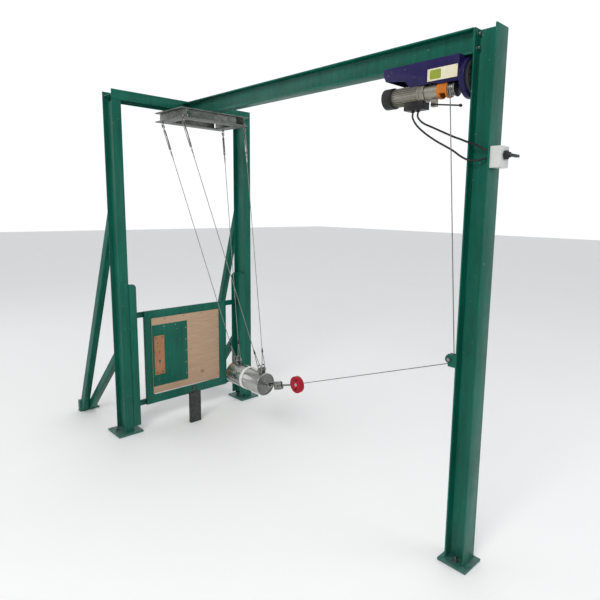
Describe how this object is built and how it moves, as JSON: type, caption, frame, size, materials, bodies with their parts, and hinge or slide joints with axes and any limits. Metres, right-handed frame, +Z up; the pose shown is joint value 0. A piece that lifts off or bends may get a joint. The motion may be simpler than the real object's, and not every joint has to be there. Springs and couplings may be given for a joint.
{
  "type": "pendulum impact test rig",
  "caption": "Pendulum impact test rig: green steel portal with test panel, overhead beam to a mast, steel mass on four ropes, small electric hoist and pull line",
  "frame": {"origin": "centre of the footprint, on the floor", "axes": "+X from the portal to the mast, +Y across the portal, +Z up"},
  "size_m": [3.99, 1.614, 3],
  "materials": {
    "frame_paint": "deep blue-green gloss enamel, lightly scuffed at edges",
    "plate_paint": "teal gloss enamel, dusty",
    "zinc": "zinc-plated fasteners",
    "galvanised": "galvanised steel, matt",
    "wire_rope": "stranded steel wire rope",
    "black_fittings": "black oxide fittings",
    "bright_steel": "bright machined steel",
    "polished_steel": "polished steel shell",
    "dark_steel": "dark oiled steel",
    "white_band": "white webbing band",
    "hoist_paint": "dark indigo hammered paint",
    "black_plastic": "black moulded plastic",
    "plate_cream": "plain cream plate",
    "motor_grey": "silver-beige cast aluminium paint",
    "guard_orange": "orange gloss paint",
    "weight_red": "crimson gloss paint",
    "switch_grey": "light grey moulded case",
    "cable_rubber": "black rubber sheath",
    "plywood": "varnished plywood with knots",
    "copper_brown": "copper-brown lacquered steel"
  },
  "bodies": {
    "frame": {"posts": "frame_paint", "portal_beam": "frame_paint", "overhead_beam": "frame_paint", "mast": "frame_paint", "base_plates": "plate_paint", "beam_end_plate": "frame_paint", "frame_bolts": "zinc", "back_stays": "frame_paint", "stay_feet": "plate_paint", "panel_guides": "frame_paint", "hanger_rails": "galvanised", "hanger_cross_members": "galvanised", "hanger_eye_bolts": "zinc", "sheave_bracket": "galvanised", "hoist_rope": "wire_rope", "hoist_housing": "hoist_paint", "hoist_end_disc": "hoist_paint", "hoist_end_cap": "black_plastic", "hoist_plate": "plate_cream", "motor_shell": "motor_grey", "fan_cover": "black_plastic", "gear_case": "motor_grey", "rope_guard": "guard_orange", "terminal_box": "black_plastic", "switch_box": "switch_grey", "motor_cables": "cable_rubber", "standing_block": "dark_steel"},
    "panel": {"cross_rails": "frame_paint", "panel_frame": "frame_paint", "plywood_sheet": "plywood", "cover_sheet": "frame_paint", "lock_plate": "copper_brown", "panel_fasteners": "zinc"},
    "inner_ropes_body": {"inner_ropes": "wire_rope", "inner_rope_ends": "black_fittings", "inner_shackles": "bright_steel"},
    "outer_ropes_body": {"outer_ropes": "wire_rope", "outer_rope_ends": "black_fittings", "outer_shackles": "bright_steel"},
    "turnbuckle_inner_front": {"inner_front_sleeve": "bright_steel"},
    "turnbuckle_inner_rear": {"inner_rear_sleeve": "bright_steel"},
    "turnbuckle_outer_front": {"outer_front_sleeve": "bright_steel"},
    "turnbuckle_outer_rear": {"outer_rear_sleeve": "bright_steel"},
    "mass": {"mass_shell": "polished_steel", "mass_end_caps": "dark_steel", "mass_ballast": "dark_steel", "mass_lugs": "bright_steel", "mass_strap": "white_band", "mass_eye": "bright_steel"},
    "pull_line": {"pull_rope": "wire_rope", "release_body": "bright_steel", "release_link": "bright_steel", "trip_weight": "weight_red", "pull_line_pins": "zinc"},
    "latch": {"release_latch": "black_fittings"},
    "sheave_wheel": {"sheave": "bright_steel"},
    "hoist_drum": {"drum": "bright_steel"},
    "motor_rotor": {"fan_rotor": "motor_grey"},
    "limit_arm": {"limit_lever": "black_fittings"},
    "selector": {"selector_knob": "black_plastic"}
  },
  "joints": [
    {"name": "panel_height", "type": "slide", "parent": "frame", "child": "panel", "axis": [0, 0, 1], "range_m": [-0.1, 0.2]},
    {"name": "pendulum_swing", "type": "hinge", "parent": "frame", "child": "inner_ropes_body", "pos_m": [-1.01, 0, 2.742], "axis": [0, 1, 0], "range_deg": [0, 20.8]},
    {"name": "outer_swing", "type": "hinge", "parent": "frame", "child": "outer_ropes_body", "pos_m": [-0.67, 0, 2.742], "axis": [0, 1, 0], "range_deg": [0, 20.8]},
    {"name": "mass_level", "type": "hinge", "parent": "inner_ropes_body", "child": "mass", "pos_m": [-0.37371, 0, 0.72393], "axis": [0, 1, 0], "range_deg": [-20.8, 0]},
    {"name": "pull_line_drop", "type": "hinge", "parent": "frame", "child": "pull_line", "pos_m": [1.711, 0, 1.208], "axis": [0, -1, 0], "range_deg": [0, 21]},
    {"name": "release_latch_lift", "type": "hinge", "parent": "pull_line", "child": "latch", "pos_m": [0.14671, 0, 0.6325], "axis": [0, 1, 0], "range_deg": [0, 60]},
    {"name": "sheave_spin", "type": "hinge", "parent": "frame", "child": "sheave_wheel", "pos_m": [1.711, 0, 1.208], "axis": [0, 1, 0], "continuous": true},
    {"name": "drum_spin", "type": "hinge", "parent": "frame", "child": "hoist_drum", "pos_m": [1.66, -0.06, 2.69], "axis": [1, 0, 0], "continuous": true},
    {"name": "rotor_spin", "type": "hinge", "parent": "frame", "child": "motor_rotor", "pos_m": [1.415, -0.06, 2.69], "axis": [1, 0, 0], "continuous": true},
    {"name": "limit_lever_tilt", "type": "hinge", "parent": "frame", "child": "limit_arm", "pos_m": [1.561, -0.08, 2.622], "axis": [0, 1, 0], "range_deg": [-10, 10]},
    {"name": "selector_turn", "type": "hinge", "parent": "frame", "child": "selector", "pos_m": [1.961, -0.01, 2.335], "axis": [1, 0, 0], "range_deg": [0, 90]},
    {"name": "sleeve_turn_inner_front", "type": "hinge", "parent": "inner_ropes_body", "child": "turnbuckle_inner_front", "pos_m": [-1.01, -0.308, 2.742], "axis": [-0.298, -0.1349, 0.945], "continuous": true},
    {"name": "sleeve_turn_inner_rear", "type": "hinge", "parent": "inner_ropes_body", "child": "turnbuckle_inner_rear", "pos_m": [-1.01, 0.308, 2.742], "axis": [-0.298, 0.1349, 0.945], "continuous": true},
    {"name": "sleeve_turn_outer_front", "type": "hinge", "parent": "outer_ropes_body", "child": "turnbuckle_outer_front", "pos_m": [-0.67, -0.308, 2.742], "axis": [-0.298, -0.1349, 0.945], "continuous": true},
    {"name": "sleeve_turn_outer_rear", "type": "hinge", "parent": "outer_ropes_body", "child": "turnbuckle_outer_rear", "pos_m": [-0.67, 0.308, 2.742], "axis": [-0.298, 0.1349, 0.945], "continuous": true}
  ],
  "couplings": [
    {"joint": "outer_swing", "follows": "pendulum_swing", "ratio": 1},
    {"joint": "mass_level", "follows": "pendulum_swing", "ratio": -1},
    {"joint": "rotor_spin", "follows": "drum_spin", "ratio": 20}
  ]
}
